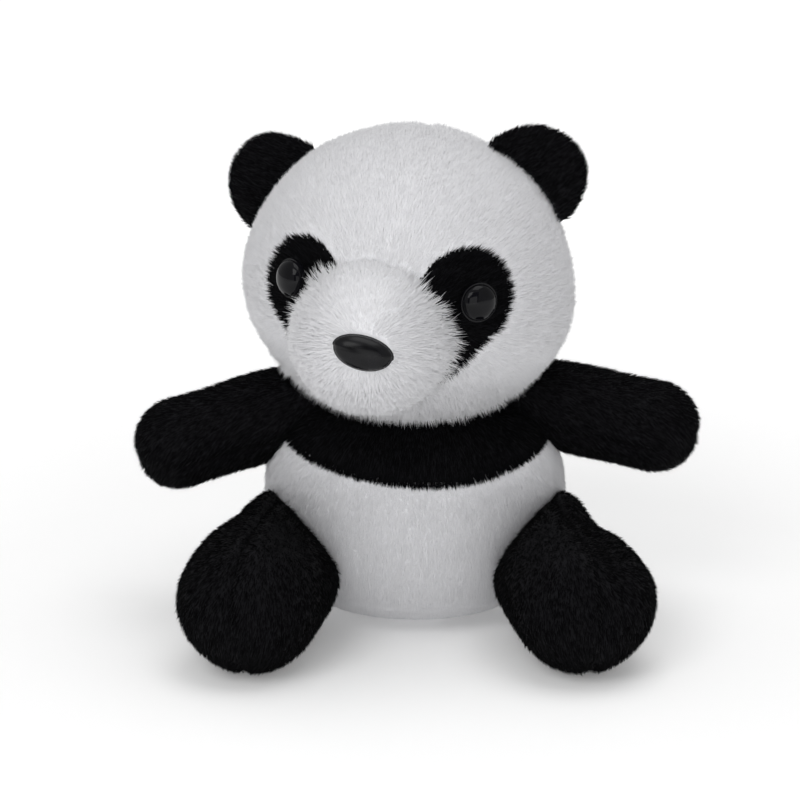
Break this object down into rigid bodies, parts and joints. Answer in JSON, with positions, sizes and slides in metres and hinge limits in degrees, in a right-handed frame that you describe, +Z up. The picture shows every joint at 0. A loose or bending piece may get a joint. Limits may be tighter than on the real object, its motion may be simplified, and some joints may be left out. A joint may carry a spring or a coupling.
{
  "type": "plush panda",
  "caption": "Small seated plush panda with a big round head, long-pile muzzle, safety eyes and nose, black ears, arms, chest band and legs, and stuffed jointless limbs.",
  "frame": {"origin": "centre of the flat seat face on the underside of the body, which lies on the floor", "axes": "-Y out through the belly and the face, +X to the toy's own left side, +Z up from the seat to the head"},
  "size_m": [0.143, 0.098, 0.1283],
  "materials": {
    "white_plush": "soft short pile",
    "black_plush": "soft short pile",
    "stuffing": "loose fibre",
    "thread": "matt",
    "black_plastic": "gloss",
    "washer_plastic": "matt"
  },
  "bodies": {
    "torso": {"chest_band": "black_plush", "shoulder_band": "black_plush", "belly_panel": "white_plush", "back_panel_left": "white_plush", "back_panel_right": "white_plush", "seat_panel": "white_plush", "torso_stuffing": "stuffing", "tail_cover": "white_plush", "tail_stuffing": "stuffing"},
    "neck": {"neck_stitching": "thread"},
    "head": {"eye_patch_left": "black_plush", "eye_left": "black_plastic", "eye_washer_left": "washer_plastic", "eye_patch_right": "black_plush", "eye_right": "black_plastic", "eye_washer_right": "washer_plastic", "nose": "black_plastic", "nose_washer": "washer_plastic", "muzzle_cover": "white_plush", "head_front_cover": "white_plush", "head_back_cover_left": "white_plush", "head_back_cover_right": "white_plush", "head_stuffing": "stuffing"},
    "ear_left": {"ear_front_left": "black_plush", "ear_back_left": "black_plush", "ear_stuffing_left": "stuffing"},
    "shoulder_left": {"arm_stitching_left": "thread"},
    "hip_left": {"leg_stitching_left": "thread"},
    "arm_left": {"arm_upper_panel_left": "black_plush", "arm_lower_panel_left": "black_plush", "arm_stuffing_left": "stuffing"},
    "leg_left": {"leg_outer_panel_left": "black_plush", "leg_inner_panel_left": "black_plush", "leg_stuffing_left": "stuffing"},
    "ear_right": {"ear_front_right": "black_plush", "ear_back_right": "black_plush", "ear_stuffing_right": "stuffing"},
    "shoulder_right": {"arm_stitching_right": "thread"},
    "hip_right": {"leg_stitching_right": "thread"},
    "arm_right": {"arm_upper_panel_right": "black_plush", "arm_lower_panel_right": "black_plush", "arm_stuffing_right": "stuffing"},
    "leg_right": {"leg_outer_panel_right": "black_plush", "leg_inner_panel_right": "black_plush", "leg_stuffing_right": "stuffing"}
  },
  "joints": [
    {"name": "neck_turn", "type": "hinge", "parent": "torso", "child": "neck", "pos_m": [-0.0015, -0.006, 0.09077], "axis": [0, 0, 1], "range_deg": [-35, 55], "stiffness_Nm_per_rad": 0.3},
    {"name": "neck_nod", "type": "hinge", "parent": "neck", "child": "head", "pos_m": [-0.0015, -0.006, 0.09077], "axis": [0.9781, -0.2079, 0], "range_deg": [-14, 14], "stiffness_Nm_per_rad": 0.3},
    {"name": "arm_swing_left", "type": "hinge", "parent": "torso", "child": "shoulder_left", "pos_m": [0.0305, 0.003, 0.05491], "axis": [0, 0, -1], "range_deg": [-15, 30], "stiffness_Nm_per_rad": 0.05},
    {"name": "arm_raise_left", "type": "hinge", "parent": "shoulder_left", "child": "arm_left", "pos_m": [0.0305, 0.003, 0.05491], "axis": [-0.2419, -0.9703, 0], "range_deg": [-10, 20], "stiffness_Nm_per_rad": 0.05},
    {"name": "leg_spread_left", "type": "hinge", "parent": "torso", "child": "hip_left", "pos_m": [0.032, -0.008, 0.02], "axis": [0, 0, 1], "range_deg": [-6, 14], "stiffness_Nm_per_rad": 0.1},
    {"name": "leg_lift_left", "type": "hinge", "parent": "hip_left", "child": "leg_left", "pos_m": [0.032, -0.008, 0.02], "axis": [-0.9744, -0.225, 0], "range_deg": [0, 20], "stiffness_Nm_per_rad": 0.1},
    {"name": "arm_swing_right", "type": "hinge", "parent": "torso", "child": "shoulder_right", "pos_m": [-0.0305, 0.003, 0.05304], "axis": [0, 0, 1], "range_deg": [-15, 30], "stiffness_Nm_per_rad": 0.05},
    {"name": "arm_raise_right", "type": "hinge", "parent": "shoulder_right", "child": "arm_right", "pos_m": [-0.0305, 0.003, 0.05304], "axis": [-0.2419, 0.9703, 0], "range_deg": [-10, 20], "stiffness_Nm_per_rad": 0.05},
    {"name": "leg_spread_right", "type": "hinge", "parent": "torso", "child": "hip_right", "pos_m": [-0.032, -0.008, 0.02], "axis": [0, 0, -1], "range_deg": [-6, 14], "stiffness_Nm_per_rad": 0.1},
    {"name": "leg_lift_right", "type": "hinge", "parent": "hip_right", "child": "leg_right", "pos_m": [-0.032, -0.008, 0.02], "axis": [-0.9744, 0.225, 0], "range_deg": [0, 20], "stiffness_Nm_per_rad": 0.1},
    {"name": "ear_bend_left", "type": "hinge", "parent": "head", "child": "ear_left", "pos_m": [0.02801, -0.00614, 0.11375], "axis": [0.6089, -0.1294, -0.7826], "range_deg": [-18, 18], "stiffness_Nm_per_rad": 0.01},
    {"name": "ear_bend_right", "type": "hinge", "parent": "head", "child": "ear_right", "pos_m": [-0.03296, 0.00682, 0.10969], "axis": [0.4817, -0.1024, 0.8704], "range_deg": [-18, 18], "stiffness_Nm_per_rad": 0.01}
  ]
}
